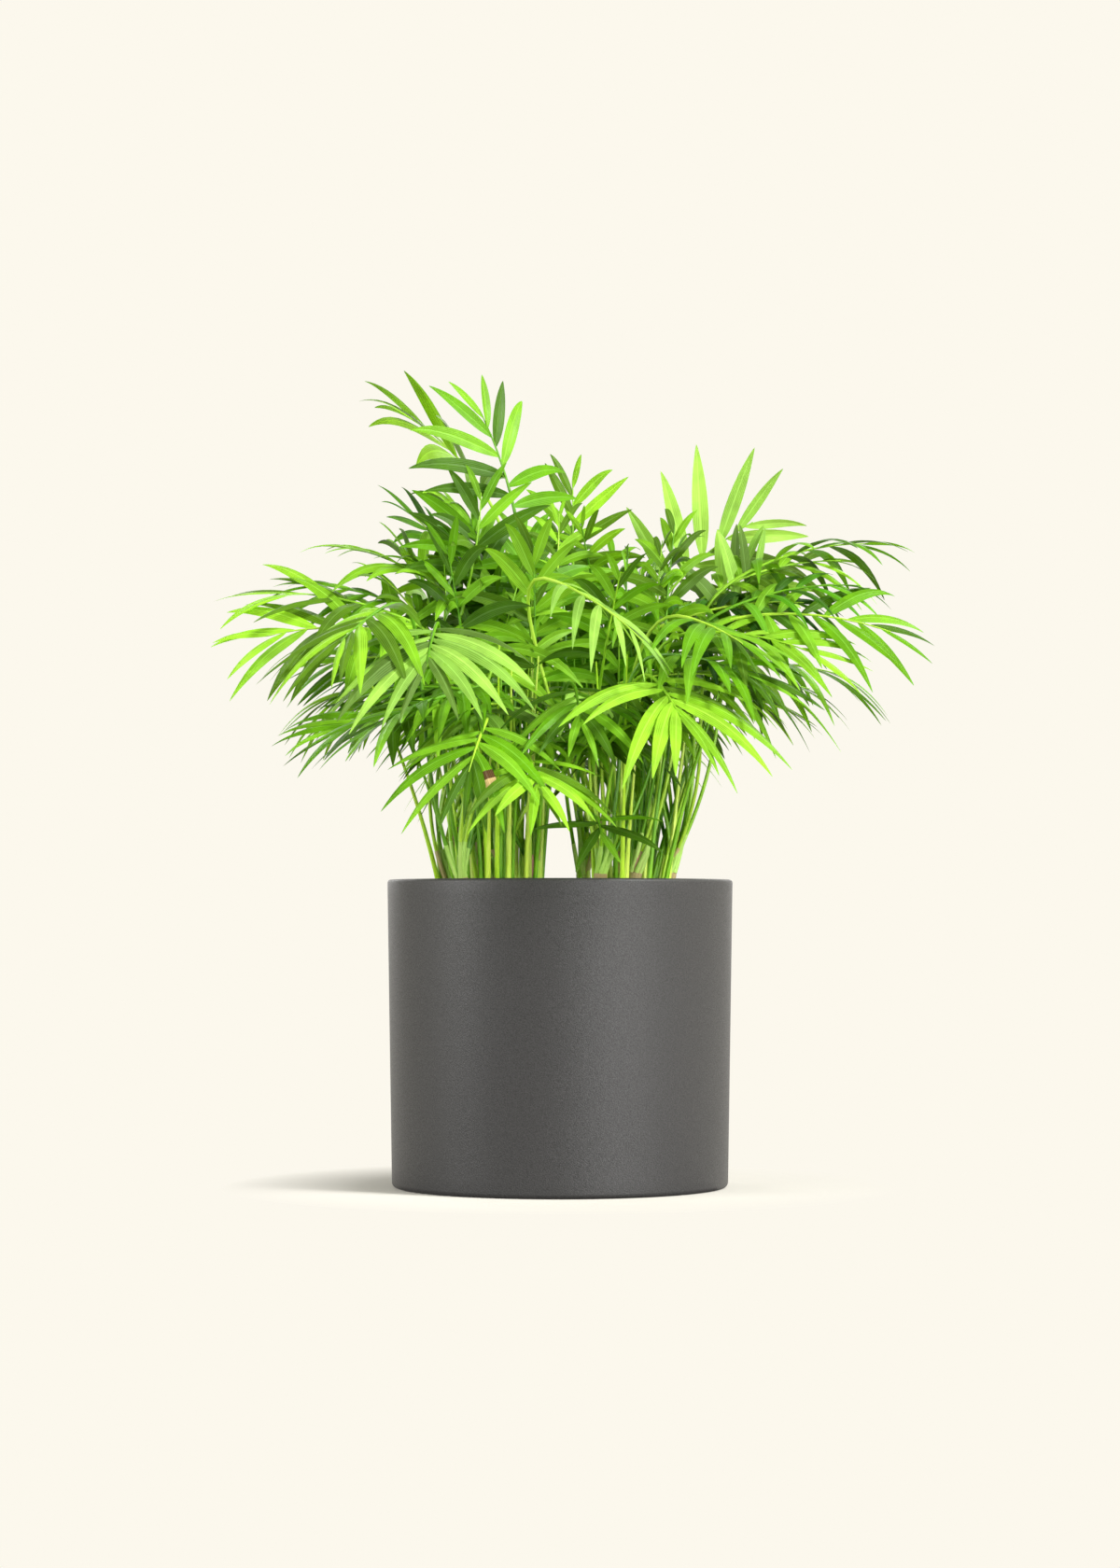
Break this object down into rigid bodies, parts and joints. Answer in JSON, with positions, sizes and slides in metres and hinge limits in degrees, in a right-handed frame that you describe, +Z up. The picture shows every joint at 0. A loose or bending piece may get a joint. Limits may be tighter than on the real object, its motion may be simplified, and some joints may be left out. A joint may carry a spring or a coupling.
{
  "type": "potted parlor palm",
  "caption": "Young feather-leaved indoor palm, seedlings with arching pinnate fronds in two clumps, planted in a straight-sided round planter that stands on its flat underside.",
  "frame": {"origin": "centre of the planter's flat underside", "axes": "+Z up along the planter's axis, +X to the viewer's right in the picture, so that the side the picture shows faces -Y"},
  "size_m": [0.4351, 0.371, 0.4982],
  "materials": {
    "pot": "matte",
    "potting_mix": "matte",
    "cane": "satin",
    "leaf_pale": "satin",
    "leaf_light": "satin",
    "leaf_mid": "satin",
    "leaf_deep": "satin",
    "leaf_shade": "satin"
  },
  "bodies": {
    "root": {"pot": "pot", "potting_mix": "potting_mix", "cane_left_1": "cane", "cane_left_2": "cane", "cane_left_3": "cane", "cane_left_4": "cane", "cane_left_5": "cane", "cane_left_6": "cane", "cane_right_1": "cane", "cane_right_2": "cane", "cane_right_3": "cane", "cane_right_4": "cane", "cane_right_5": "cane", "cane_right_6": "cane", "frond_front_01": "leaf_mid", "frond_front_02": "leaf_light", "frond_front_03": "leaf_light", "frond_front_04": "leaf_pale", "frond_front_05": "leaf_light", "frond_front_06": "leaf_mid", "frond_front_07": "leaf_deep", "frond_front_08": "leaf_light", "frond_front_09": "leaf_mid", "frond_front_10": "leaf_light", "frond_front_11": "leaf_mid", "frond_front_12": "leaf_mid", "frond_front_13": "leaf_light", "frond_front_14": "leaf_pale", "frond_front_15": "leaf_light", "frond_front_16": "leaf_pale", "frond_front_17": "leaf_light", "frond_front_18": "leaf_light", "frond_front_19": "leaf_light", "frond_front_20": "leaf_mid", "frond_front_21": "leaf_deep", "frond_front_22": "leaf_mid", "frond_front_23": "leaf_mid", "frond_front_24": "leaf_mid", "frond_front_25": "leaf_light", "frond_front_26": "leaf_deep", "frond_front_27": "leaf_mid", "frond_front_28": "leaf_light", "frond_front_29": "leaf_mid", "frond_front_30": "leaf_shade", "frond_front_31": "leaf_mid", "frond_front_32": "leaf_mid", "frond_front_33": "leaf_mid", "frond_front_34": "leaf_mid", "frond_back_01": "leaf_mid", "frond_back_02": "leaf_light", "frond_back_03": "leaf_mid", "frond_back_04": "leaf_light", "frond_back_05": "leaf_mid", "frond_back_06": "leaf_light", "frond_back_07": "leaf_mid", "frond_back_08": "leaf_light", "frond_back_09": "leaf_mid", "frond_back_10": "leaf_light", "frond_back_11": "leaf_mid", "frond_back_12": "leaf_light"}
  },
  "joints": []
}
